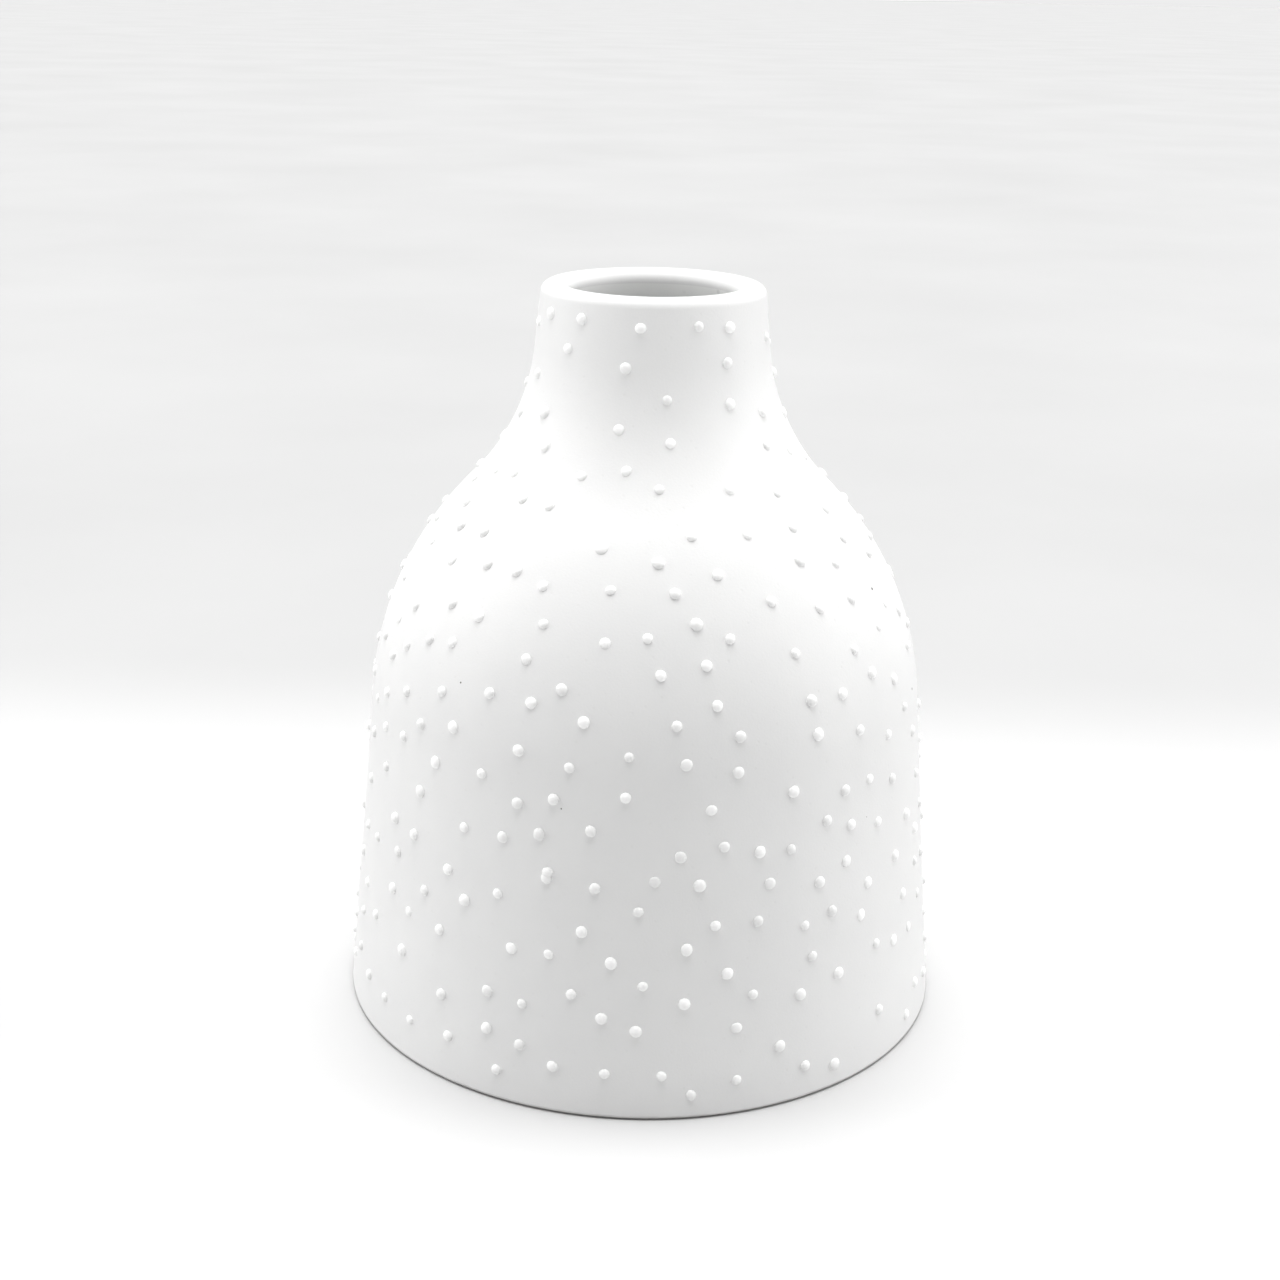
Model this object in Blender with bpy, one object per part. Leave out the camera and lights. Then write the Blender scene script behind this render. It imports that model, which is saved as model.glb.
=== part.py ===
"""Ceramic bud vase: a hollow, bottle-shaped turned body, dotted with small beads of clay slip.

Metres, +Z up. The origin is the centre of the foot, on the surface that the vase stands on.
The body is one turned shell. The beads are separate drops that sit on its outside wall.
"""

import math
import random

import bmesh
import bpy
from mathutils import Vector

# Driving dimensions of the body. A wall's lean is its angle from upright, towards the axis.
HEIGHT = 0.121
FOOT_RADIUS = 0.0508
WALL_THICKNESS = 0.0047
WALL_LEAN = math.radians(5.2)
SHOULDER_START = 0.0545
SHOULDER_RADIUS = 0.055
SHOULDER_LEAN = math.radians(45.6)
FLARE_RADIUS = 0.036
NECK_LEAN = math.radians(6)

# The lip, the floor and the foot ring.
LIP_OUTER_ROUNDING = 0.0016
LIP_INNER_ROUNDING = 0.002
FLOOR_THICKNESS = 0.006
FLOOR_ROUNDING = 0.009
FOOT_BEVEL = 0.0007
FOOT_RING_WIDTH = 0.007
FOOT_RECESS = 0.0012

# The beads: how many are pieces of their own, their sizes, and the bare bands at the lip and the foot.
BEAD_COUNT = 59
BEAD_RADIUS_SMALLEST = 0.00085
BEAD_RADIUS_LARGEST = 0.0011
BEAD_HEIGHT_PER_RADIUS = 0.85
BARE_BELOW_LIP = 0.0035
BARE_ABOVE_FOOT = 0.004
BEAD_GAP = 0.0003
BEAD_SEED = 7
BEAD_TRIES = 60

# How finely the round shapes are cut into flats.
BODY_SIDES = 64
WALL_FLATS = 2
SHOULDER_FLATS = 8
FLARE_FLATS = 6
NECK_FLATS = 1
ROUNDING_FLATS = 4
LIP_OUTER_FLATS = 3
BEAD_SIDES = 8
BEAD_RINGS = 3
SHARP_ANGLE = math.radians(40)
MERGE_DISTANCE = 0.000001


def walk(start, lean, turn, length):
    """The point that a wall reaches after a length over which its lean changes evenly by turn."""
    radius, height = start
    if turn == 0:
        return radius - length * math.sin(lean), height + length * math.cos(lean)
    bend = length / turn
    return (
        radius + bend * (math.cos(lean + turn) - math.cos(lean)),
        height + bend * (math.sin(lean + turn) - math.sin(lean)),
    )


def wall_stretches():
    """The outside wall from foot to lip, as a start point, start lean, turn, length and flats for each."""
    shoulder_turn = SHOULDER_LEAN - WALL_LEAN
    flare_turn = NECK_LEAN - SHOULDER_LEAN
    plan = [
        (WALL_LEAN, 0, SHOULDER_START / math.cos(WALL_LEAN), WALL_FLATS),
        (WALL_LEAN, shoulder_turn, SHOULDER_RADIUS * shoulder_turn, SHOULDER_FLATS),
        (SHOULDER_LEAN, flare_turn, -FLARE_RADIUS * flare_turn, FLARE_FLATS),
    ]
    stretches = []
    point = (FOOT_RADIUS, 0)
    for lean, turn, length, flats in plan:
        stretches.append((point, lean, turn, length, flats))
        point = walk(point, lean, turn, length)
    neck_length = (HEIGHT - point[1]) / math.cos(NECK_LEAN)
    stretches.append((point, NECK_LEAN, 0, neck_length, NECK_FLATS))
    return stretches


STRETCHES = wall_stretches()
WALL_LENGTH = sum(stretch[3] for stretch in STRETCHES)


def wall_at(distance):
    """Radius, height and lean of the outside wall at a distance up it from the foot."""
    for start, lean, turn, length, _ in STRETCHES:
        if distance <= length:
            share = distance / length
            return *walk(start, lean, turn * share, distance), lean + turn * share
        distance -= length
    last = STRETCHES[-1]
    return *walk(last[0], last[1], last[2], last[3]), last[1] + last[2]


def wall_stations():
    """Distances up the wall at which its outline has a point, from the end of each stretch."""
    stations = []
    reached = 0
    for _, _, _, length, flats in STRETCHES:
        stations += [reached + length * step / flats for step in range(1, flats + 1)]
        reached += length
    return stations[:-1]


def arc(centre, radius, start_angle, end_angle, flats):
    """Points along an arc of the outline, both ends included."""
    points = []
    for step in range(flats + 1):
        angle = start_angle + (end_angle - start_angle) * step / flats
        points.append((centre[0] + radius * math.cos(angle), centre[1] + radius * math.sin(angle)))
    return points


def body_outline():
    """The body's section, from the axis on the inside floor, over the lip and back to the axis below."""
    up = math.pi / 2
    outside = [wall_at(distance) for distance in wall_stations()]
    inside = [
        (radius - WALL_THICKNESS * math.cos(lean), height - WALL_THICKNESS * math.sin(lean))
        for radius, height, lean in outside
    ]
    slope, upright = math.tan(NECK_LEAN), math.cos(NECK_LEAN)
    lip_radius = wall_at(WALL_LENGTH)[0]
    mouth_radius = lip_radius - WALL_THICKNESS / upright
    mouth_centre = (mouth_radius + LIP_INNER_ROUNDING * (slope + 1 / upright), HEIGHT - LIP_INNER_ROUNDING)
    lip_centre = (lip_radius + LIP_OUTER_ROUNDING * (slope - 1 / upright), HEIGHT - LIP_OUTER_ROUNDING)
    floor_edge = FOOT_RADIUS - WALL_THICKNESS - FLOOR_ROUNDING - FLOOR_THICKNESS * math.tan(WALL_LEAN)
    floor_centre = (floor_edge, FLOOR_THICKNESS + FLOOR_ROUNDING)
    bevel_top = FOOT_RADIUS - FOOT_BEVEL * math.tan(WALL_LEAN)
    ring_inside = FOOT_RADIUS - FOOT_RING_WIDTH

    outline = [(0, FLOOR_THICKNESS)]
    outline += arc(floor_centre, FLOOR_ROUNDING, -up, -WALL_LEAN, ROUNDING_FLATS)
    outline += inside
    outline += arc(mouth_centre, LIP_INNER_ROUNDING, math.pi + NECK_LEAN, up, ROUNDING_FLATS)
    outline += arc(lip_centre, LIP_OUTER_ROUNDING, up, NECK_LEAN, LIP_OUTER_FLATS)
    outline += [(radius, height) for radius, height, _ in reversed(outside)]
    outline += [(bevel_top, FOOT_BEVEL), (bevel_top - FOOT_BEVEL, 0)]
    outline += [(ring_inside, 0), (ring_inside - FOOT_RECESS, FOOT_RECESS), (0, FOOT_RECESS)]
    return outline


def bead_outline(radius):
    """A bead's section, from its top down to its flat back, which stays just clear of the wall."""
    height = radius * BEAD_HEIGHT_PER_RADIUS
    back_angle = math.asin(BEAD_GAP / height)
    outline = [(0, height)]
    for ring in range(1, BEAD_RINGS + 1):
        angle = math.pi / 2 + (back_angle - math.pi / 2) * ring / BEAD_RINGS
        outline.append((radius * math.cos(angle), height * math.sin(angle)))
    outline.append((0, BEAD_GAP))
    return outline


def turned_piece(name, outline, sides, material):
    """A closed solid, made by turning an outline that starts and ends on the axis once round +Z."""
    mesh = bpy.data.meshes.new(name)
    shape = bmesh.new()
    points = [shape.verts.new((radius, 0, height)) for radius, height in outline]
    edges = [shape.edges.new(pair) for pair in zip(points, points[1:])]
    bmesh.ops.spin(
        shape,
        geom=points + edges,
        cent=(0, 0, 0),
        axis=(0, 0, 1),
        angle=2 * math.pi,
        steps=sides,
        use_merge=True,
    )
    bmesh.ops.remove_doubles(shape, verts=shape.verts, dist=MERGE_DISTANCE)
    bmesh.ops.recalc_face_normals(shape, faces=shape.faces)
    shape.to_mesh(mesh)
    shape.free()
    mesh.shade_smooth()
    mesh.set_sharp_from_angle(angle=SHARP_ANGLE)
    mesh.materials.append(material)
    piece = bpy.data.objects.new(name, mesh)
    bpy.context.collection.objects.link(piece)
    return piece


def plain_material(name, colour, roughness):
    """A Principled material of one colour."""
    material = bpy.data.materials.new(name)
    material.use_nodes = True
    shader = material.node_tree.nodes["Principled BSDF"]
    shader.inputs["Base Color"].default_value = (*colour, 1)
    shader.inputs["Roughness"].default_value = roughness
    shader.inputs["Metallic"].default_value = 0
    return material


def random_place(chance):
    """A point and outward direction anywhere between the bare bands, every bit of area as likely."""
    while True:
        distance = chance.uniform(BARE_ABOVE_FOOT, WALL_LENGTH - BARE_BELOW_LIP)
        radius, height, lean = wall_at(distance)
        if chance.random() < radius / FOOT_RADIUS:
            break
    angle = chance.uniform(0, 2 * math.pi)
    point = Vector((radius * math.cos(angle), radius * math.sin(angle), height))
    outward = Vector((math.cos(lean) * math.cos(angle), math.cos(lean) * math.sin(angle), math.sin(lean)))
    return point, outward


def bead_places():
    """Scattered places for the beads: each is the loneliest of several random ones."""
    chance = random.Random(BEAD_SEED)
    places = [random_place(chance)]
    while len(places) < BEAD_COUNT:
        tries = [random_place(chance) for _ in range(BEAD_TRIES)]
        places.append(max(tries, key=lambda spot: min((spot[0] - other[0]).length for other in places)))
    return places


def main():
    for old in list(bpy.data.objects):
        bpy.data.objects.remove(old, do_unlink=True)

    bisque = plain_material("bisque_porcelain", (0.84, 0.84, 0.83), 0.85)
    slip = plain_material("white_slip", (0.9, 0.9, 0.89), 0.6)

    body = turned_piece("vase_body", body_outline(), BODY_SIDES, bisque)
    sizes = random.Random(BEAD_SEED + 1)
    for number, (point, outward) in enumerate(bead_places(), start=1):
        radius = sizes.uniform(BEAD_RADIUS_SMALLEST, BEAD_RADIUS_LARGEST)
        bead = turned_piece(f"slip_bead_{number:02d}", bead_outline(radius), BEAD_SIDES, slip)
        bead.parent = body
        bead.location = point
        bead.rotation_euler = outward.to_track_quat("Z", "Y").to_euler()


main()
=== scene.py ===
# %% [markdown]
# # A ceramic bud vase, dotted with beads of slip
#
# The vase is a small bottle shape, turned hollow from white clay and fired without a glaze outside.
# Its whole outside wall carries little raised beads. A potter makes them with slip, which is clay
# thinned to a cream, let out of a fine tip one drop at a time.
#
# The sizes and places come from a finished model that this script loads first and builds around.
# The finer pieces made here take the place of its plain ones, at the same size.

import math

import bpy
from mathutils import Matrix, Vector


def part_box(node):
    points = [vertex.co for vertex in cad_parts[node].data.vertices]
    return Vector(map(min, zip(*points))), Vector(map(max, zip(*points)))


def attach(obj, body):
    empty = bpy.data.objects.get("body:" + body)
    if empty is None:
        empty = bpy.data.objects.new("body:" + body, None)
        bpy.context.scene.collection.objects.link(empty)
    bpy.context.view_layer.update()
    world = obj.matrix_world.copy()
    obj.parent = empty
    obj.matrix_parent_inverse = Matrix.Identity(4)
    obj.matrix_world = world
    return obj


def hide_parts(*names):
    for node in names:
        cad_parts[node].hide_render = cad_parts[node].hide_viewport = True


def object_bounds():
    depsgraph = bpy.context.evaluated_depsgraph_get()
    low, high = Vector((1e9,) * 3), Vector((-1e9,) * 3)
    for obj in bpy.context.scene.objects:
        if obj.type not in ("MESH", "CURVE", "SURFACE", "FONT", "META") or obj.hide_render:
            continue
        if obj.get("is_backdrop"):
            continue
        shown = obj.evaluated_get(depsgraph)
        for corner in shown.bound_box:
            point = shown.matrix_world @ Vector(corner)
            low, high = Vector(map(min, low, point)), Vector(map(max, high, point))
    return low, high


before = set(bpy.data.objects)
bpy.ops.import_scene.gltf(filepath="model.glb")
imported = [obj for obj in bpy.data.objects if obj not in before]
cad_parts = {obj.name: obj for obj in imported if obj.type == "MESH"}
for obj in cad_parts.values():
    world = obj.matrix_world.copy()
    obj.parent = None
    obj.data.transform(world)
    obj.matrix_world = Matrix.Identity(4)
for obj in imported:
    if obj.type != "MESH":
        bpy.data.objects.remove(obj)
model_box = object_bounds()
print("nodes in the model:", len(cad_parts))

# %% [markdown]
# The body's box gives the two sizes that matter most: how tall the vase is, and how wide it is just
# above the foot. Lengths below are in metres, and `mm` keeps the small ones easy to read.

# %% Read the main sizes
mm = 0.001
body_low, body_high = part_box("vase_body")
height = body_high.z
foot_radius = body_high.x
print(f"the vase is {height / mm:.1f} mm tall and {2 * foot_radius / mm:.1f} mm wide at the foot")

# %% [markdown]
# ## The camera
#
# The vase is seen from a little above, close up, so its foot shows as a wide curve and its mouth as
# a narrow one. The camera stands about three foot widths away. It is turned by hand-held amounts:
# mostly down, and very slightly round and over.

# %% Set up the camera
camera_distance = 307 * mm
camera_height = 166.6 * mm
camera_down = math.radians(19.0)
camera_round = math.radians(0.2)
camera_over = math.radians(1.15)

lens_data = bpy.data.cameras.new("camera")
lens_data.sensor_width = 36
lens_data.lens = 54.1
lens_data.clip_start = 0.01
camera = bpy.data.objects.new("camera", lens_data)
bpy.context.collection.objects.link(camera)
camera.matrix_world = (
    Matrix.Translation((0, -camera_distance, camera_height))
    @ Matrix.Rotation(camera_round, 4, "Z")
    @ Matrix.Rotation(math.radians(90) - camera_down, 4, "X")
    @ Matrix.Rotation(camera_over, 4, "Z")
)
bpy.context.scene.camera = camera
view_axis = camera.matrix_world.to_quaternion() @ Vector((0, 0, -1))
print("camera looks", [round(part, 3) for part in view_axis])

# %% [markdown]
# ## Tools for building node trees
#
# Both the shapes and the finishes below are made with nodes. Wiring nodes by hand in Python is
# long-winded, so three small helpers do it: one starts a tree with named inputs and outputs, one
# adds a node and fills in its inputs, and one picks a socket by name. A node may have hidden sockets
# with the same name as the one in use, so only enabled sockets are looked at.


# %% Helpers for node trees
def pick(sockets, key):
    """A socket by its name, or by its place, among the ones that are in use."""
    in_use = [each for each in sockets if each.enabled]
    return in_use[key] if isinstance(key, int) else next(each for each in in_use if each.name == key)


def add(tree, kind, inputs=None, out=0, **settings):
    """Adds a node, sets it up, fills its inputs with values or wires, and returns one output."""
    made = tree.nodes.new(kind)
    for name, value in settings.items():
        setattr(made, name, value)
    for key, value in (inputs or {}).items():
        target = pick(made.inputs, key)
        for each in value if isinstance(value, list) else [value]:
            if isinstance(each, bpy.types.NodeSocket):
                tree.links.new(each, target)
            else:
                target.default_value = each
    return pick(made.outputs, out) if made.outputs else made


def math_node(tree, operation, *values):
    """One step of arithmetic on values or wires."""
    return add(tree, "ShaderNodeMath", dict(enumerate(values)), operation=operation)


def new_tree(name, kind, inputs, outputs):
    """An empty tree with named inputs and outputs. Returns it, its inputs and its output node."""
    tree = bpy.data.node_groups.new(name, kind)
    for label, socket_type, default in inputs:
        item = tree.interface.new_socket(label, in_out="INPUT", socket_type=socket_type)
        if default is not None:
            item.default_value = default
    for label, socket_type in outputs:
        tree.interface.new_socket(label, in_out="OUTPUT", socket_type=socket_type)
    return tree, tree.nodes.new("NodeGroupInput").outputs, tree.nodes.new("NodeGroupOutput")


print("node helpers ready")

# %% [markdown]
# ## Shader groups that the finishes share
#
# Fired clay is never one flat colour. Under a lens it is a fine sandy grain, with soft cloudy
# patches where the clay dried or took the flame a little differently. The body, the beads and the
# glazed inside all show it, each to its own degree, so it is one group with its own numbers in each
# material. It reads Object coordinates, which here are the vase's own metres.


# %% The grain group
def make_grain_group():
    """Fine grain and cloudy patches of fired clay. Sizes are the width of one grain or patch."""
    tree, given, result = new_tree(
        "Fired Clay Grain",
        "ShaderNodeTree",
        [
            ("Grain Size", "NodeSocketFloat", 0.4 * mm),
            ("Patch Size", "NodeSocketFloat", 12 * mm),
            ("Pit Size", "NodeSocketFloat", 1.6 * mm),
        ],
        [("Grain", "NodeSocketFloat"), ("Patches", "NodeSocketFloat"), ("Pits", "NodeSocketFloat")],
    )
    place = add(tree, "ShaderNodeTexCoord", out="Object")

    def scale(size):
        return math_node(tree, "DIVIDE", 1.0, given[size])

    def noise(size, detail, roughness):
        inputs = {"Vector": place, "Scale": scale(size), "Detail": detail, "Roughness": roughness}
        return add(tree, "ShaderNodeTexNoise", inputs)

    grain = noise("Grain Size", 3.0, 0.6)
    patches = noise("Patch Size", 4.0, 0.55)
    cell_inputs = {"Vector": place, "Scale": scale("Pit Size")}
    cells = add(tree, "ShaderNodeTexVoronoi", cell_inputs, out="Distance")
    pit_edge = {"From Min": 0.05, "From Max": 0.14, "To Min": 1.0, "To Max": 0.0}
    pits = add(tree, "ShaderNodeMapRange", {"Value": cells, **pit_edge})
    tree.links.new(grain, result.inputs["Grain"])
    tree.links.new(patches, result.inputs["Patches"])
    tree.links.new(pits, result.inputs["Pits"])
    return tree


clay_grain = make_grain_group()
print("made the group", clay_grain.name)

# %% [markdown]
# White clay nearly always holds a few specks of iron. They burn to tiny dark dots in the kiln. A
# cell pattern gives every cell a random number, and only the cells whose number is high enough get a
# dot at their centre. The dots lie all through the clay, so only the few that the surface cuts
# through can be seen.


# %% The speck group
def make_speck_group():
    """A few dark dots, one at the centre of each chosen cell."""
    tree, given, result = new_tree(
        "Iron Specks",
        "ShaderNodeTree",
        [
            ("Cell Size", "NodeSocketFloat", 6 * mm),
            ("Share Without", "NodeSocketFloat", 0.97),
            ("Dot Size", "NodeSocketFloat", 0.03),
        ],
        [("Mask", "NodeSocketFloat")],
    )
    place = add(tree, "ShaderNodeTexCoord", out="Object")
    scale = math_node(tree, "DIVIDE", 1.0, given["Cell Size"])
    near = add(tree, "ShaderNodeTexVoronoi", {"Vector": place, "Scale": scale}, out="Distance")
    colour = pick(near.node.outputs, "Color")
    number = add(tree, "ShaderNodeSeparateColor", {"Color": colour}, out="Red")
    chosen = math_node(tree, "GREATER_THAN", number, given["Share Without"])
    inside = math_node(tree, "LESS_THAN", near, given["Dot Size"])
    tree.links.new(math_node(tree, "MULTIPLY", chosen, inside), result.inputs["Mask"])
    return tree


iron_specks = make_speck_group()
print("made the group", iron_specks.name)

# %% [markdown]
# Some marks go by height: the lip is rubbed a little smoother by fingers, and the foot is darkened
# towards the table with painted shade, for the dark line under its bevel. One group fades a mark in
# between two heights, broken up by noise so that its edge is not a ruled line.


# %% The height mask group
def make_height_mask_group():
    """A mask that grows from one height to another, with an uneven edge."""
    tree, given, result = new_tree(
        "Height Mask",
        "ShaderNodeTree",
        [
            ("Clean Height", "NodeSocketFloat", 1.0 * mm),
            ("Marked Height", "NodeSocketFloat", 0.0),
            ("Unevenness", "NodeSocketFloat", 0.4 * mm),
        ],
        [("Mask", "NodeSocketFloat")],
    )
    place = add(tree, "ShaderNodeTexCoord", out="Object")
    level = add(tree, "ShaderNodeSeparateXYZ", {"Vector": place}, out="Z")
    waves_per_metre = 220.0
    noise = add(tree, "ShaderNodeTexNoise", {"Vector": place, "Scale": waves_per_metre, "Detail": 3.0})
    shift = math_node(tree, "MULTIPLY", math_node(tree, "SUBTRACT", noise, 0.5), given["Unevenness"])
    mask = add(
        tree,
        "ShaderNodeMapRange",
        {
            "Value": math_node(tree, "ADD", level, shift),
            "From Min": given["Clean Height"],
            "From Max": given["Marked Height"],
        },
    )
    tree.links.new(mask, result.inputs["Mask"])
    return tree


height_mask = make_height_mask_group()
print("made the group", height_mask.name)

# %% [markdown]
# ## The finishes
#
# Each material is one Principled shader. A helper starts it and hands back the shader and a
# function that places a shared group in it. Numbers that are the same all over go straight on the
# shader's own sockets, and only what changes over the surface is wired in.


# %% Helpers for materials
def new_material(name, specular):
    """A material with its Principled shader."""
    material = bpy.data.materials.new(name)
    material.use_nodes = True
    shader = material.node_tree.nodes["Principled BSDF"]
    shader.inputs["Metallic"].default_value = 0.0
    shader.inputs["Specular IOR Level"].default_value = specular
    return material, shader


def use_group(tree, group, **values):
    """Places a shared group in a material with its own values, and returns its outputs."""
    placed = tree.nodes.new("ShaderNodeGroup")
    placed.node_tree = group
    for name, value in values.items():
        placed.inputs[name.replace("_", " ")].default_value = value
    return placed.outputs


def blend_colours(tree, amount, first, second):
    """Mixes two colours, each given as three numbers or as a wire."""
    mixed = tree.nodes.new("ShaderNodeMix")
    mixed.data_type = "RGBA"
    tree.links.new(amount, pick(mixed.inputs, "Factor"))
    for key, colour in (("A", first), ("B", second)):
        target = pick(mixed.inputs, key)
        if isinstance(colour, bpy.types.NodeSocket):
            tree.links.new(colour, target)
        else:
            target.default_value = (*colour, 1.0)
    return pick(mixed.outputs, "Result")


def ramp(tree, value, low, high):
    """Turns a value from 0 to 1 into one from low to high."""
    return add(tree, "ShaderNodeMapRange", {"Value": value, "To Min": low, "To Max": high})


def roughen(tree, shader, layers):
    """Gives the shader a bump from (height wire, depth in metres) layers."""
    normal = None
    for level, depth in layers:
        inputs = {"Height": level, "Distance": depth, "Strength": 1.0}
        if normal is not None:
            inputs["Normal"] = normal
        normal = add(tree, "ShaderNodeBump", inputs)
    tree.links.new(normal, shader.inputs["Normal"])


print("material helpers ready")

# %% [markdown]
# ** Bisque.** The outside is bare fired clay, sanded smooth. It is matt, very pale and neutral, with
# a grain that shows only as a soft tooth, and the clouds of tone in it stay faint. The colour is
# built up in layers: clouds, sandy grain, painted shade in the pits, painted shade darkening the
# foot towards the table, then specks.


# %% The bisque finish
def make_bisque():
    """Bare white fired clay, for the outside of the body."""
    material, shader = new_material("sanded_bisque", 0.35)
    tree = material.node_tree
    grain = use_group(tree, clay_grain, Grain_Size=0.35 * mm, Patch_Size=14 * mm, Pit_Size=2.2 * mm)
    specks = use_group(tree, iron_specks, Cell_Size=9 * mm, Share_Without=0.4, Dot_Size=0.026)
    # The foot mask places painted shade on the lowest 0.8 mm of the wall.
    foot = use_group(
        tree, height_mask, Clean_Height=0.8 * mm, Marked_Height=0.2 * mm, Unevenness=0.4 * mm
    )
    rub_start, rub_full = height - 2.5 * mm, height - 0.8 * mm
    lip = use_group(
        tree, height_mask, Clean_Height=rub_start, Marked_Height=rub_full, Unevenness=1 * mm
    )
    clouds = blend_colours(tree, grain["Patches"], (0.70, 0.70, 0.70), (0.77, 0.77, 0.765))
    sandy = blend_colours(tree, ramp(tree, grain["Grain"], 0.0, 0.35), clouds, (0.80, 0.80, 0.795))
    # The pits get a faint painted shade: darker dots where the small hollows would lie in shade.
    pit_shaded = blend_colours(tree, ramp(tree, grain["Pits"], 0.0, 0.06), sandy, (0.50, 0.49, 0.47))
    # Painted shade: the foot goes almost black towards the table, standing in for the shadow in the crevice
    # under its bevel.
    foot_shaded = blend_colours(tree, ramp(tree, foot["Mask"], 0.0, 0.8), pit_shaded, (0.18, 0.17, 0.16))
    specked = blend_colours(tree, specks["Mask"], foot_shaded, (0.06, 0.05, 0.045))
    tree.links.new(specked, shader.inputs["Base Color"])
    dull = ramp(tree, grain["Grain"], 0.62, 0.78)
    rubbed = math_node(tree, "SUBTRACT", dull, ramp(tree, lip["Mask"], 0.0, 0.14))
    tree.links.new(rubbed, shader.inputs["Roughness"])
    deeper = math_node(tree, "SUBTRACT", 1.0, grain["Pits"])
    roughen(tree, shader, [(grain["Grain"], 0.02 * mm), (deeper, 0.01 * mm)])
    return material


bisque = make_bisque()
print("made the finish", bisque.name)

# %% [markdown]
# ** Glaze.** Bare clay would let water seep through, so the inside is taken to have a thin clear
# glaze. It is smooth and glossy, with the faint dimpled skin that glaze has. Near the lip it runs
# thin and lets the white clay show, so the height mask group serves here as well, as a mask by height.


# %% The glaze finish
def make_glaze():
    """Thin clear glaze over the same clay, for the inside. It is thicker and greyer below the lip."""
    material, shader = new_material("clear_liner_glaze", 0.5)
    tree = material.node_tree
    deep, shallow = height - 5.5 * mm, height - 1.5 * mm
    thin = use_group(tree, height_mask, Clean_Height=deep, Marked_Height=shallow, Unevenness=1 * mm)
    grain = use_group(tree, clay_grain, Grain_Size=1.2 * mm, Patch_Size=10 * mm, Pit_Size=4 * mm)
    clouds = blend_colours(tree, grain["Patches"], (0.74, 0.75, 0.745), (0.80, 0.805, 0.795))
    thinned = blend_colours(tree, thin["Mask"], clouds, (0.93, 0.93, 0.92))
    # Pinholes are painted shade: dark dots where small hollows in the glaze would lie in shade.
    pinhole_shaded = blend_colours(tree, ramp(tree, grain["Pits"], 0.0, 0.3), thinned, (0.45, 0.45, 0.44))
    tree.links.new(pinhole_shaded, shader.inputs["Base Color"])
    tree.links.new(ramp(tree, grain["Patches"], 0.12, 0.24), shader.inputs["Roughness"])
    roughen(tree, shader, [(grain["Grain"], 0.02 * mm)])
    return material


glaze = make_glaze()
print("made the finish", glaze.name)

# %% [markdown]
# **Slip.** The beads are a finer, whiter clay than the body, and they dried with a slightly
# smoother skin. Some drops were thicker or wetter than others, so each bead has a random tone of
# its own, kept in the mesh as an attribute called `tone`.


# %% The slip finish
def make_slip():
    """White slip, for the beads."""
    material, shader = new_material("trailed_slip", 0.45)
    tree = material.node_tree
    grain = use_group(tree, clay_grain, Grain_Size=0.25 * mm, Patch_Size=6 * mm, Pit_Size=1.5 * mm)
    tone = add(tree, "ShaderNodeAttribute", out="Fac", attribute_name="tone")
    plain = blend_colours(tree, tone, (0.78, 0.78, 0.775), (0.95, 0.95, 0.945))
    sandy = blend_colours(tree, ramp(tree, grain["Grain"], 0.0, 0.2), plain, (0.86, 0.86, 0.855))
    tree.links.new(sandy, shader.inputs["Base Color"])
    tree.links.new(ramp(tree, grain["Grain"], 0.42, 0.58), shader.inputs["Roughness"])
    roughen(tree, shader, [(grain["Grain"], 0.012 * mm)])
    return material


slip = make_slip()
print("made the finish", slip.name)

# %% [markdown]
# ## The shape of the wall
#
# A potter's outline is a few sweeps of the hand. Here it is four: a nearly straight wall that
# leans in a little, a round shoulder, a hollow flare and a short straight neck. Each sweep is
# either straight or an arc, so the whole outline follows from its lean and its radius. Lean is the
# wall's angle from upright, towards the axis.

# %% The sweeps of the outside wall
wall_lean = math.radians(5.2)
shoulder_start = 54.5 * mm
shoulder_radius = 55 * mm
shoulder_lean = math.radians(45.6)
flare_radius = 36 * mm
neck_lean = math.radians(6)
foot_bevel = 0.45 * mm


def walk(start, lean, turn, length):
    """The point that a wall reaches after a length over which its lean changes evenly by turn."""
    if turn == 0:
        return start[0] - length * math.sin(lean), start[1] + length * math.cos(lean)
    bend = length / turn
    return (
        start[0] + bend * (math.cos(lean + turn) - math.cos(lean)),
        start[1] + bend * (math.sin(lean + turn) - math.sin(lean)),
    )


def wall_sweeps():
    """The outside wall's sweeps from the foot up: start point, start lean, turn and length of each."""
    shoulder_turn = shoulder_lean - wall_lean
    flare_turn = neck_lean - shoulder_lean
    plan = [
        (wall_lean, 0, (shoulder_start - foot_bevel) / math.cos(wall_lean)),
        (wall_lean, shoulder_turn, shoulder_radius * shoulder_turn),
        (shoulder_lean, flare_turn, -flare_radius * flare_turn),
    ]
    sweeps = []
    point = (foot_radius, foot_bevel)
    for lean, turn, length in plan:
        sweeps.append((point, lean, turn, length))
        point = walk(point, lean, turn, length)
    sweeps.append((point, neck_lean, 0, (height - point[1]) / math.cos(neck_lean)))
    return sweeps


sweeps = wall_sweeps()
wall_length = sum(length for _, _, _, length in sweeps)
print(f"the outside wall is {wall_length / mm:.1f} mm long from foot to lip")

# %% [markdown]
# Both the body and the beads need places on this wall. One function gives the radius, the height and
# the lean at any distance up it, and two more turn a stretch of wall or an arc into outline points.


# %% Points along the wall
def wall_at(distance):
    """Radius, height and lean of the outside wall at a distance up it."""
    for start, lean, turn, length in sweeps:
        if distance <= length:
            share = distance / length
            return *walk(start, lean, turn * share, distance), lean + turn * share
        distance -= length
    start, lean, turn, length = sweeps[-1]
    return *walk(start, lean, turn, length), lean + turn


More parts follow.
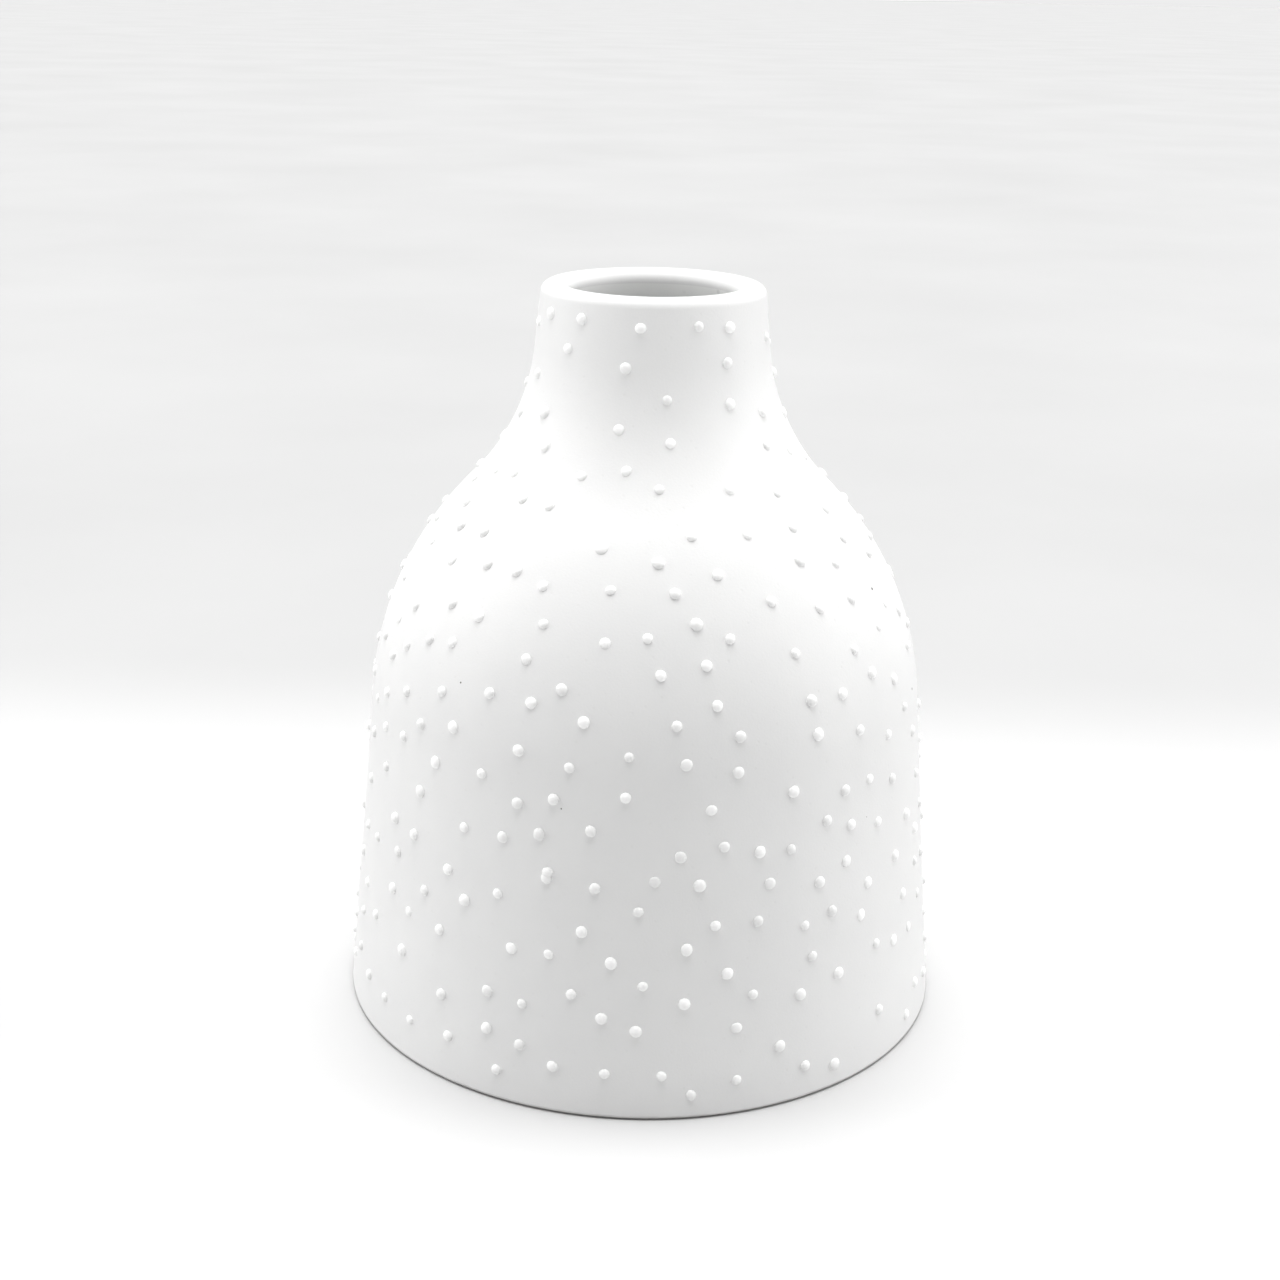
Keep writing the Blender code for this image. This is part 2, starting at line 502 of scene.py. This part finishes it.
def wall_points(first, last, step, depth=0.0):
    """Outline points between two distances up the wall, about a step apart, set in by a depth."""
    count = max(1, round((last - first) / step))
    points = []
    for number in range(count + 1):
        radius, level, lean = wall_at(first + (last - first) * number / count)
        points.append((radius - depth * math.cos(lean), level - depth * math.sin(lean)))
    return points


def arc(centre, radius, start_degrees, end_degrees, steps):
    """Points along an arc, both ends included."""
    points = []
    for number in range(steps + 1):
        angle = math.radians(start_degrees + (end_degrees - start_degrees) * number / steps)
        points.append((centre[0] + radius * math.cos(angle), centre[1] + radius * math.sin(angle)))
    return points


lip_radius = wall_at(wall_length)[0]
print(f"the lip is {2 * lip_radius / mm:.1f} mm across")

# %% [markdown]
# The full section goes from the axis on the inside floor, out and up the inside wall, over the lip,
# down the outside, under the bevelled foot and back to the axis. The lip has a narrow flat land
# between two soft roundings. The foot ends in a small bevel, which lifts the wall's edge off the
# table, and the bottom is hollowed inside a flat ring. Every edge has a small rounding of its own,
# so that it catches light as real clay does.

# %% The full section
wall_thickness = 4.7 * mm
lip_outer_rounding = 1.6 * mm
lip_inner_rounding = 2 * mm
floor_thickness = 6 * mm
floor_rounding = 9 * mm
ring_width = 7 * mm
recess = 1.2 * mm
edge_rounding = 0.2 * mm
wall_step = 0.9 * mm

# How many steps each stretch of the section is drawn in.
floor_steps = 12
floor_rounding_steps = 12
lip_inner_steps = 14
lip_outer_steps = 10
edge_steps = 4
hollow_steps = 10


def inside_outline():
    """The glazed part of the section: the inside floor, its corner and the inside wall."""
    floor_edge = foot_radius - wall_thickness - floor_rounding - floor_thickness * math.tan(wall_lean)
    floor = [(floor_edge * number / floor_steps, floor_thickness) for number in range(floor_steps)]
    corner_top = floor_thickness + floor_rounding
    corner_end = -math.degrees(wall_lean)
    corner = arc((floor_edge, corner_top), floor_rounding, -90, corner_end, floor_rounding_steps)
    drop_below_lip = lip_inner_rounding * (1 + math.sin(neck_lean)) - wall_thickness * math.sin(neck_lean)
    wall_top = wall_length - drop_below_lip / math.cos(neck_lean)
    wall = wall_points(corner_top, wall_top, 2 * wall_step, wall_thickness)
    return floor + corner + wall


def lip_outline():
    """The lip: an inside rounding, a flat land and an outside rounding, all running smoothly on."""
    slope, upright = math.tan(neck_lean), math.cos(neck_lean)
    mouth_radius = lip_radius - wall_thickness / upright
    inner_radius, outer_radius = lip_inner_rounding, lip_outer_rounding
    inner = (mouth_radius + inner_radius * (slope + 1 / upright), height - inner_radius)
    outer = (lip_radius + outer_radius * (slope - 1 / upright), height - outer_radius)
    land = [(inner[0] + (outer[0] - inner[0]) * share, height) for share in (0.1, 0.5, 0.9)]
    lean = math.degrees(neck_lean)
    inner_arc = arc(inner, inner_radius, 180 + lean, 90, lip_inner_steps)
    return inner_arc + land + arc(outer, outer_radius, 90, lean, lip_outer_steps)


def foot_outline():
    """The foot: the bevel, the flat ring, the step up into the hollow, and the hollow's flat."""
    ring_outside = foot_radius - foot_bevel
    ring_inside = foot_radius - ring_width
    wall_end = (foot_radius - edge_rounding, foot_bevel + edge_rounding / 2)
    bevel_top = arc(wall_end, edge_rounding, 0, -45, edge_steps)
    ring_end = (ring_outside - edge_rounding / 2, edge_rounding)
    ring_edge = arc(ring_end, edge_rounding, -45, -90, edge_steps)
    hollow_edge = arc((ring_inside, edge_rounding), edge_rounding, -90, -135, edge_steps)
    step = ring_inside - recess
    hollow_corner = [(step, recess - edge_rounding), (step - edge_rounding, recess)]
    flat = ring_inside - 2 * recess
    hollow = [(flat * number / hollow_steps, recess) for number in range(hollow_steps, -1, -1)]
    return bevel_top + ring_edge + hollow_edge + hollow_corner + hollow


inside = inside_outline()
lip = lip_outline()
# The wall's own points stop a little short of the bevel below and of the rounding above.
foot_gap = 0.5 * mm
lip_gap = 0.1 * mm
lip_corner = lip_outer_rounding * (1 - math.sin(neck_lean)) / math.cos(neck_lean)
outside = wall_points(foot_gap, wall_length - lip_corner - lip_gap, wall_step)[::-1]
foot = foot_outline()
section = inside + lip + outside + foot
print("the section has", len(section), "points")

# %% [markdown]
# ## Turning the clay with Geometry Nodes
#
# A turned shape repeats one section all the way round, which is just what a node tree can do. The
# tree makes a flat grid with one row for each point of the section and one column for each step
# round the axis. It then moves every grid point to its section point, turned by its column's angle.
# Merging the doubled points closes the seam and the two poles on the axis.


# %% Roll a grid round the axis
def rolled_grid(tree, given):
    """A grid with every row at its outline point, turned round +Z. Returns it and each point's row."""
    columns = math_node(tree, "ADD", given["Sides"], 1.0)
    rows = add(tree, "GeometryNodeAttributeDomainSize", {"Geometry": given["Outline"]}, out="Point Count")
    grid = add(tree, "GeometryNodeMeshGrid", {"Vertices X": rows, "Vertices Y": columns})
    index = add(tree, "GeometryNodeInputIndex")
    row = math_node(tree, "FLOOR", math_node(tree, "DIVIDE", math_node(tree, "ADD", index, 0.5), columns))
    column = math_node(tree, "FLOORED_MODULO", index, columns)
    position = add(tree, "GeometryNodeInputPosition")
    section_point = add(
        tree,
        "GeometryNodeSampleIndex",
        {"Geometry": given["Outline"], "Value": position, "Index": row},
        data_type="FLOAT_VECTOR",
    )
    angle = math_node(tree, "MULTIPLY", math_node(tree, "DIVIDE", column, given["Sides"]), 2 * math.pi)
    turned = add(
        tree, "ShaderNodeVectorRotate", {"Vector": section_point, "Angle": angle}, rotation_type="Z_AXIS"
    )
    return add(tree, "GeometryNodeSetPosition", {"Geometry": grid, "Position": turned}), row


print("grid roller ready")

# %% [markdown]
# Nothing made by hand is perfectly round, so slow noise pushes the wall in and out by a few
# hundredths of a millimetre. It fades out at the foot, which stands flat. The noise has a fixed
# seed, so every run makes the same pot.


# %% The potter's wobble
def add_wobble(tree, given, geometry):
    """Pushes a surface in and out along its normal by slow noise, but not at the foot."""
    position = add(tree, "GeometryNodeInputPosition")
    noise = add(
        tree,
        "ShaderNodeTexNoise",
        {
            "Vector": position,
            "W": given["Seed"],
            "Scale": math_node(tree, "DIVIDE", 1.0, given["Wobble Width"]),
            "Detail": 2.0,
        },
        noise_dimensions="4D",
    )
    level = add(tree, "ShaderNodeSeparateXYZ", {"Vector": position}, out="Z")
    free = add(
        tree,
        "ShaderNodeMapRange",
        {"Value": level, "From Min": 1.5 * mm, "From Max": 8 * mm},
        interpolation_type="SMOOTHSTEP",
    )
    push = math_node(tree, "MULTIPLY", math_node(tree, "SUBTRACT", noise, 0.5), given["Wobble"])
    normal = add(tree, "GeometryNodeInputNormal")
    offset = add(
        tree,
        "ShaderNodeVectorMath",
        {0: normal, "Scale": math_node(tree, "MULTIPLY", push, free)},
        operation="SCALE",
    )
    return add(tree, "GeometryNodeSetPosition", {"Geometry": geometry, "Offset": offset})


print("wobble ready")

# %% [markdown]
# The whole tree puts these together. It also carries the mark of what is glazed from the outline
# over to the surface, and gives the two finishes by it.


# %% The turning tree
def make_turning_tree():
    """Turns an outline, given as a mesh of points, into a closed or an open wall round the axis."""
    tree, given, result = new_tree(
        "Turned Clay",
        "GeometryNodeTree",
        [
            ("Outline", "NodeSocketGeometry", None),
            ("Sides", "NodeSocketInt", 96),
            ("Wobble", "NodeSocketFloat", 0.0),
            ("Wobble Width", "NodeSocketFloat", 20 * mm),
            ("Seed", "NodeSocketInt", 1),
            ("Clay", "NodeSocketMaterial", None),
            ("Glaze", "NodeSocketMaterial", None),
        ],
        [("Geometry", "NodeSocketGeometry")],
    )
    rolled, row = rolled_grid(tree, given)
    glazed = add(tree, "GeometryNodeInputNamedAttribute", {"Name": "glazed"})
    glazed_here = add(
        tree, "GeometryNodeSampleIndex", {"Geometry": given["Outline"], "Value": glazed, "Index": row}
    )
    marking = {"Geometry": rolled, "Name": "glazed", "Value": glazed_here}
    marked = add(tree, "GeometryNodeStoreNamedAttribute", marking)
    closed = add(tree, "GeometryNodeMergeByDistance", {"Geometry": marked, "Distance": same_place})
    wobbled = add_wobble(tree, given, closed)
    smooth = add(tree, "GeometryNodeSetShadeSmooth", {"Geometry": wobbled, "Shade Smooth": True})
    clay = add(tree, "GeometryNodeSetMaterial", {"Geometry": smooth, "Material": given["Clay"]})
    is_glazed = add(tree, "FunctionNodeCompare", {"A": glazed, "B": 0.5}, operation="GREATER_THAN")
    real = add(tree, "GeometryNodeRealizeInstances", {"Geometry": clay})
    finished = add(
        tree,
        "GeometryNodeSetMaterial",
        {"Geometry": real, "Selection": is_glazed, "Material": given["Glaze"]},
    )
    tree.links.new(finished, result.inputs["Geometry"])
    return tree


same_place = 0.002 * mm
turning = make_turning_tree()
print("made the tree", turning.name, "with", len(turning.nodes), "nodes")

# %% [markdown]
# A tree runs as a modifier on a start mesh. The next helper sets the modifier's inputs, each by its
# socket's identifier, then keeps what comes out as a plain mesh and throws the start away.


# %% Helpers that run a tree
def outline_mesh(name, outline, glazed_count=0):
    """A mesh of points in the XZ plane. The first glazed_count of them are marked as glazed."""
    mesh = bpy.data.meshes.new(name)
    mesh.from_pydata([(radius, 0, level) for radius, level in outline], [], [])
    glazed = mesh.attributes.new("glazed", "FLOAT", "POINT")
    for number in range(glazed_count):
        glazed.data[number].value = 1.0
    return mesh


def run_tree(name, start, tree, **values):
    """Runs a tree on a start mesh and returns the result as an object with a plain mesh."""
    maker = bpy.data.objects.new(name + "_maker", start)
    bpy.context.collection.objects.link(maker)
    modifier = maker.modifiers.new("maker", "NODES")
    modifier.node_group = tree
    named = {item.name: item for item in tree.interface.items_tree if item.in_out == "INPUT"}
    for label, value in values.items():
        modifier[named[label.replace("_", " ")].identifier] = value
    bpy.context.view_layer.update()
    evaluated = maker.evaluated_get(bpy.context.evaluated_depsgraph_get())
    piece = bpy.data.objects.new(name, bpy.data.meshes.new_from_object(evaluated))
    if piece.data.materials[0] is None:
        piece.data.materials.pop(index=0)
    bpy.context.collection.objects.link(piece)
    bpy.data.objects.remove(maker)
    return piece


print("tree runner ready")

# %% [markdown]
# ## The body
#
# The section is turned in one go, inside and outside together, so the shell is closed and has its
# real thickness everywhere. The points of the inside wall are marked as glazed.

# %% Turn the body
body_sides = 224
shell = run_tree(
    "vase_shell",
    outline_mesh("body_section", section, glazed_count=len(inside)),
    turning,
    Sides=body_sides,
    Wobble=0.25 * mm,
    Wobble_Width=22 * mm,
    Seed=3,
    Clay=bisque,
    Glaze=glaze,
)
print("the body has", len(shell.data.polygons), "faces in", len(shell.data.materials), "finishes")

# %% [markdown]
# ## The beads
#
# The measured model holds a thin, even share of the beads, each at its true place. Their centres
# and widths are read from it, and the node tree fills the wall between them.

# %% Read the beads of the model
bead_names = sorted(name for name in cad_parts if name.startswith("slip_bead"))


def bead_width(name):
    """The widest distance across a bead of the model."""
    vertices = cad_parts[name].data.vertices
    corners = {tuple(round(value, 6) for value in vertex.co) for vertex in vertices}
    return max(math.dist(first, second) for first in corners for second in corners)


bead_widths = [bead_width(name) for name in bead_names]
placed_beads = bpy.data.meshes.new("placed_beads")
placed_beads.from_pydata([sum(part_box(name), Vector()) / 2 for name in bead_names], [], [])
placed_radius = placed_beads.attributes.new("bead_radius", "FLOAT", "POINT")
for number, width in enumerate(bead_widths):
    placed_radius.data[number].value = width / 2
print(len(bead_names), "beads read, the widest", round(max(bead_widths) / mm, 2), "mm across")

# %% [markdown]
# One bead is a low round dome. It is 0.6 of its radius high, and its edge spreads a little where the
# wet slip met the wall. It is turned with the same tree as the body, at a radius of one. A point
# closes it below, inside the clay, so that the dome still shades smoothly down to the wall. Hundreds
# of copies are made of it, so it has only a few dozen faces.

# %% Turn one drop
drop_height = 0.6
drop_sides = 12
dome = [(radius, drop_height * level) for radius, level in arc((0, 0), 1, 90, 34, 2)]
root = [(1.03, -0.16), (0, -0.9)]
drop = run_tree(
    "drop", outline_mesh("drop_section", dome + root), turning, Sides=drop_sides, Clay=slip, Glaze=slip
)
drop.hide_render = True
drop_faces = len(drop.data.polygons)
print("one drop has", drop_faces, "faces")

# %% [markdown]
# The beads stop short of the lip and of the foot. The band between those two lines is turned as an
# open wall, only to scatter on, and it isn't kept. Its outline runs from the top down, as the body's
# does, so that its faces look outwards and the drops stand the right way up.

# %% Turn the band that carries beads
bare_below_lip = 3.5 * mm
bare_above_foot = 3.5 * mm
band_outline = wall_points(bare_above_foot, wall_length - bare_below_lip, wall_step)[::-1]
band = run_tree(
    "band", outline_mesh("band_section", band_outline), turning, Sides=body_sides, Clay=slip, Glaze=slip
)
print("the band has", len(band.data.polygons), "faces")

# %% [markdown]
# No two drops are alike, so many of the tree's numbers are random ones. They all come from one seed,
# and each use moves the seed on by a step of its own.


# %% Random values for each bead
def bead_chance(tree, given):
    """A function that adds a random value for each bead. Every use takes its own step of the seed."""
    order = add(tree, "GeometryNodeInputIndex")

    def chance(kind, step, **limits):
        inputs = {"ID": order, "Seed": math_node(tree, "ADD", given["Seed"], step)}
        return add(tree, "FunctionNodeRandomValue", {**inputs, **limits}, data_type=kind)

    return chance


print("bead chance ready")

# %% [markdown]
# The scatter uses Poisson disk points, which keep a least distance from each other, as a steady
# hand would. Points that fall too near a bead of the model are taken out, and the model's beads
# join the rest. Each drop then stands up along the wall's normal, with a random turn.


# %% Where each bead stands, and which way up
def bead_points(tree, given, chance):
    """A point on the wall for every bead: the scattered ones, then those that have their places."""
    scattered = add(
        tree,
        "GeometryNodeDistributePointsOnFaces",
        {
            "Mesh": given["Wall"],
            "Distance Min": given["Spacing"],
            "Density Max": given["Density"],
            "Seed": given["Seed"],
        },
        distribute_method="POISSON",
    )
    placed = add(tree, "GeometryNodeObjectInfo", {"Object": given["Placed Beads"]}, out="Geometry")
    nearest = add(
        tree, "GeometryNodeProximity", {"Geometry": placed}, out="Distance", target_element="POINTS"
    )
    too_near = math_node(tree, "LESS_THAN", nearest, given["Spacing"])
    kept = add(tree, "GeometryNodeDeleteGeometry", {"Geometry": scattered, "Selection": too_near})
    size = chance("FLOAT", 1.0, Min=given["Least Radius"], Max=given["Most Radius"])
    sizing = {"Geometry": kept, "Name": "bead_radius", "Value": size}
    sized = add(tree, "GeometryNodeStoreNamedAttribute", sizing)
    placed_points = add(tree, "GeometryNodeMeshToPoints", {"Mesh": placed})
    all_points = add(tree, "GeometryNodeJoinGeometry", {"Geometry": [sized, placed_points]})
    on_wall = add(tree, "GeometryNodeProximity", {"Geometry": given["Wall"]}, out="Position")
    return add(tree, "GeometryNodeSetPosition", {"Geometry": all_points, "Position": on_wall})


def bead_stance(tree, given, chance):
    """The rotation that stands a drop up along the wall's normal, with a random turn."""
    normal = add(tree, "GeometryNodeInputNormal")
    outward = add(
        tree,
        "GeometryNodeSampleNearestSurface",
        {"Mesh": given["Wall"], "Value": normal},
        data_type="FLOAT_VECTOR",
    )
    upright = add(tree, "FunctionNodeAlignRotationToVector", {"Vector": outward}, axis="Z")
    spin = add(
        tree,
        "FunctionNodeAxisAngleToRotation",
        {"Axis": (0, 0, 1), "Angle": chance("FLOAT", 2.0, Min=0.0, Max=2 * math.pi)},
    )
    return add(
        tree, "FunctionNodeRotateRotation", {"Rotation": upright, "Rotate By": spin}, rotation_space="LOCAL"
    )


print("bead places ready")

# %% [markdown]
# The tree itself then gives each drop a slight oval, a height and a tone of its own. Some beads are
# flatter, where the slip was thin, and here and there two drops ran together.


# %% The bead tree
def make_bead_tree():
    """Scatters drops over a wall, between beads that already have their places."""
    tree, given, result = new_tree(
        "Trailed Beads",
        "GeometryNodeTree",
        [
            ("Wall", "NodeSocketGeometry", None),
            ("Placed Beads", "NodeSocketObject", None),
            ("Drop", "NodeSocketObject", None),
            ("Spacing", "NodeSocketFloat", 5 * mm),
            ("Density", "NodeSocketFloat", 30000.0),
            ("Least Radius", "NodeSocketFloat", 0.85 * mm),
            ("Most Radius", "NodeSocketFloat", 1.1 * mm),
            ("Share Flat", "NodeSocketFloat", 0.15),
            ("Share Twin", "NodeSocketFloat", 0.01),
            ("Seed", "NodeSocketInt", 1),
            ("Slip", "NodeSocketMaterial", None),
        ],
        [("Geometry", "NodeSocketGeometry")],
    )
    chance = bead_chance(tree, given)
    seated = bead_points(tree, given, chance)
    stance = bead_stance(tree, given, chance)
    radius = add(tree, "GeometryNodeInputNamedAttribute", {"Name": "bead_radius"})
    is_twin = chance("BOOLEAN", 3.0, Probability=given["Share Twin"])
    twins = add(tree, "GeometryNodeSeparateGeometry", {"Geometry": seated, "Selection": is_twin})
    beside = add(
        tree,
        "FunctionNodeRotateVector",
        {"Vector": add(tree, "ShaderNodeCombineXYZ", {"X": radius}), "Rotation": stance},
    )
    moved = add(tree, "GeometryNodeSetPosition", {"Geometry": twins, "Offset": beside})
    every = add(tree, "GeometryNodeJoinGeometry", {"Geometry": [seated, moved]})

    oval = chance("FLOAT", 4.0, Min=0.94, Max=1.06)
    is_flat = chance("BOOLEAN", 5.0, Probability=given["Share Flat"])
    rise = chance("FLOAT", 6.0, Min=0.9, Max=1.1)
    flat_rise = 0.6
    rises = {"Switch": is_flat, "False": rise, "True": flat_rise}
    rise_here = add(tree, "GeometryNodeSwitch", rises, input_type="FLOAT")
    shape = add(
        tree,
        "ShaderNodeCombineXYZ",
        {
            "X": math_node(tree, "MULTIPLY", radius, oval),
            "Y": math_node(tree, "DIVIDE", radius, oval),
            "Z": math_node(tree, "MULTIPLY", radius, rise_here),
        },
    )
    drop_shape = add(tree, "GeometryNodeObjectInfo", {"Object": given["Drop"]}, out="Geometry")
    copies = add(
        tree,
        "GeometryNodeInstanceOnPoints",
        {"Points": every, "Instance": drop_shape, "Rotation": stance, "Scale": shape},
    )
    toned = add(
        tree,
        "GeometryNodeStoreNamedAttribute",
        {"Geometry": copies, "Name": "tone", "Value": chance("FLOAT", 7.0, Min=0.0, Max=1.0)},
        domain="INSTANCE",
    )
    real = add(tree, "GeometryNodeRealizeInstances", {"Geometry": toned})
    finished = add(tree, "GeometryNodeSetMaterial", {"Geometry": real, "Material": given["Slip"]})
    tree.links.new(finished, result.inputs["Geometry"])
    return tree


bead_tree = make_bead_tree()
print("made the tree", bead_tree.name, "with", len(bead_tree.nodes), "nodes")

# %% [markdown]
# The tree runs on the band, with the spacing and the sizes that the vase needs. The band, the single
# drop and the points of the model's beads have then done their work, and are taken away.

# %% Scatter the beads
placed_object = bpy.data.objects.new("placed_beads", placed_beads)
bpy.context.collection.objects.link(placed_object)
beads = run_tree(
    "slip_beads",
    band.data,
    bead_tree,
    Placed_Beads=placed_object,
    Drop=drop,
    Spacing=5.2 * mm,
    Density=52500.0,
    Least_Radius=0.82 * mm,
    Most_Radius=1.06 * mm,
    Share_Flat=0.15,
    Share_Twin=0.008,
    Seed=11,
    Slip=slip,
)
for helper in (placed_object, drop, band):
    bpy.data.objects.remove(helper)
print("there are", len(beads.data.polygons) // drop_faces, "beads")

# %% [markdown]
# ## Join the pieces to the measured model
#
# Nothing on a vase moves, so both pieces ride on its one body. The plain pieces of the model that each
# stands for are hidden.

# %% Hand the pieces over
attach(shell, "root")
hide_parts("vase_body")

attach(beads, "root")
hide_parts(*bead_names)
print("pieces handed over:", shell.name, "and", beads.name)

# %% [markdown]
# ## The table and the light
#
# The vase stands on a plain white sheet. A little way behind it, and further off all round, the flat
# sheet is painted a shade greyer: painted shade, as paper takes where it curves up and away from the
# light. Faint clouds in that grey keep it from looking like a flat fill.


# %% The white sheet
def make_sheet(half_width, near, far):
    """A wide floor, white around the origin and pale grey behind it. Near and far bound the change."""
    mesh = bpy.data.meshes.new("sheet")
    corners = [(half_width * x, half_width * y, 0) for x, y in ((-1, -1), (1, -1), (1, 1), (-1, 1))]
    mesh.from_pydata(corners, [], [(0, 1, 2, 3)])
    sheet = bpy.data.objects.new("sheet", mesh)
    bpy.context.collection.objects.link(sheet)
    material, shader = new_material("white_paper", 0.2)
    tree = material.node_tree
    place = add(tree, "ShaderNodeTexCoord", out="Object")
    reach = add(tree, "ShaderNodeVectorMath", {0: place}, out="Value", operation="LENGTH")
    behind = add(tree, "ShaderNodeSeparateXYZ", {"Vector": place}, out="Y")
    # Far off in any direction counts as much as a little way behind.
    reach_share = 0.15
    distance = math_node(tree, "MAXIMUM", behind, math_node(tree, "MULTIPLY", reach, reach_share))
    away = add(
        tree,
        "ShaderNodeMapRange",
        {"Value": distance, "From Min": near, "From Max": far},
        interpolation_type="SMOOTHSTEP",
    )
    clouds = add(tree, "ShaderNodeTexNoise", {"Vector": place, "Scale": 5.0, "Detail": 5.0})
    # This grey is painted shade, standing in for the light that falls off further away.
    grey = blend_colours(tree, clouds, (0.435, 0.435, 0.435), (0.51, 0.51, 0.51))
    tree.links.new(blend_colours(tree, away, (0.60, 0.60, 0.60), grey), shader.inputs["Base Color"])
    shader.inputs["Roughness"].default_value = 0.9
    mesh.materials.append(material)
    return sheet


sheet = make_sheet(half_width=20.0, near=60 * mm, far=160 * mm)
sheet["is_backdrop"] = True
print("the sheet is", sheet.dimensions.x, "m wide")

# %% [markdown]
# The light is that of a bright, soft room. Most of it falls straight down, which whitens the
# shoulder, the lip and the sheet. A high window behind adds to that from above the far side, two
# low ones at the left and the right brighten the flanks, and a weak light from the front stands for
# the wall behind the viewer. All are wide suns, so that the sheet is as bright far away as it is
# near. Directions are given as an angle round from straight behind the vase, turning to the right,
# and an angle up.


# %% The lamps
def add_sun(name, around, up, spread, strength):
    """A soft light from one side of the sky. Angles are in degrees."""
    around, up = math.radians(around), math.radians(up)
    lamp = bpy.data.lights.new(name, "SUN")
    lamp.angle = math.radians(spread)
    lamp.energy = strength
    sun = bpy.data.objects.new(name, lamp)
    source = Vector((math.sin(around) * math.cos(up), math.cos(around) * math.cos(up), math.sin(up)))
    sun.rotation_euler = source.to_track_quat("Z", "Y").to_euler()
    bpy.context.collection.objects.link(sun)


add_sun("ceiling", around=0, up=90, spread=45, strength=3.2)
add_sun("back_window", around=0, up=65, spread=40, strength=0.9)
add_sun("left_window", around=-77, up=20, spread=50, strength=2.0)
add_sun("right_window", around=77, up=20, spread=50, strength=2.0)
add_sun("front_wall", around=180, up=20, spread=40, strength=0.5)

# %% [markdown]
# A last narrow beam comes over the front of the lip, as from a small mirror, and keeps the inside
# of the neck from going dark. The room itself gives almost no light. It only looks pale where the
# camera sees past the sheet.

# %% The mirror's beam and the room
room_light = 0.05
room_seen = 0.85
beam_lamp = bpy.data.lights.new("mirror", "SPOT")
beam_lamp.energy = 36
beam_lamp.spot_size = math.radians(2.6)
beam_lamp.spot_blend = 0.7
beam_lamp.shadow_soft_size = 50 * mm
beam = bpy.data.objects.new("mirror", beam_lamp)
beam.location = (0, -420 * mm, 460 * mm)
mouth_back = Vector((0, 14 * mm, height))
beam.rotation_euler = (mouth_back - beam.location).to_track_quat("-Z", "Y").to_euler()
bpy.context.collection.objects.link(beam)

world = bpy.data.worlds.new("room")
world.use_nodes = True
room = world.node_tree.nodes["Background"]
room.inputs["Color"].default_value = (1, 1, 1, 1)
seen_directly = add(world.node_tree, "ShaderNodeLightPath", out="Is Camera Ray")
room_strength = ramp(world.node_tree, seen_directly, room_light, room_seen)
world.node_tree.links.new(room_strength, room.inputs["Strength"])
bpy.context.scene.world = world
bpy.context.scene.view_settings.view_transform = "Standard"

# %% [markdown]
# ## Print the sizes
#
# The finished vase is meant to fill the same box as the measured model, so both boxes are printed
# together.

# %% Print the sizes
look_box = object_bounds()
sizes = {
    "model": [[float(value) for value in corner] for corner in model_box],
    "looks": [[float(value) for value in corner] for corner in look_box],
}
for name, corners in sizes.items():
    print(name, [round((high - low) / mm, 2) for low, high in zip(*corners)], "mm")
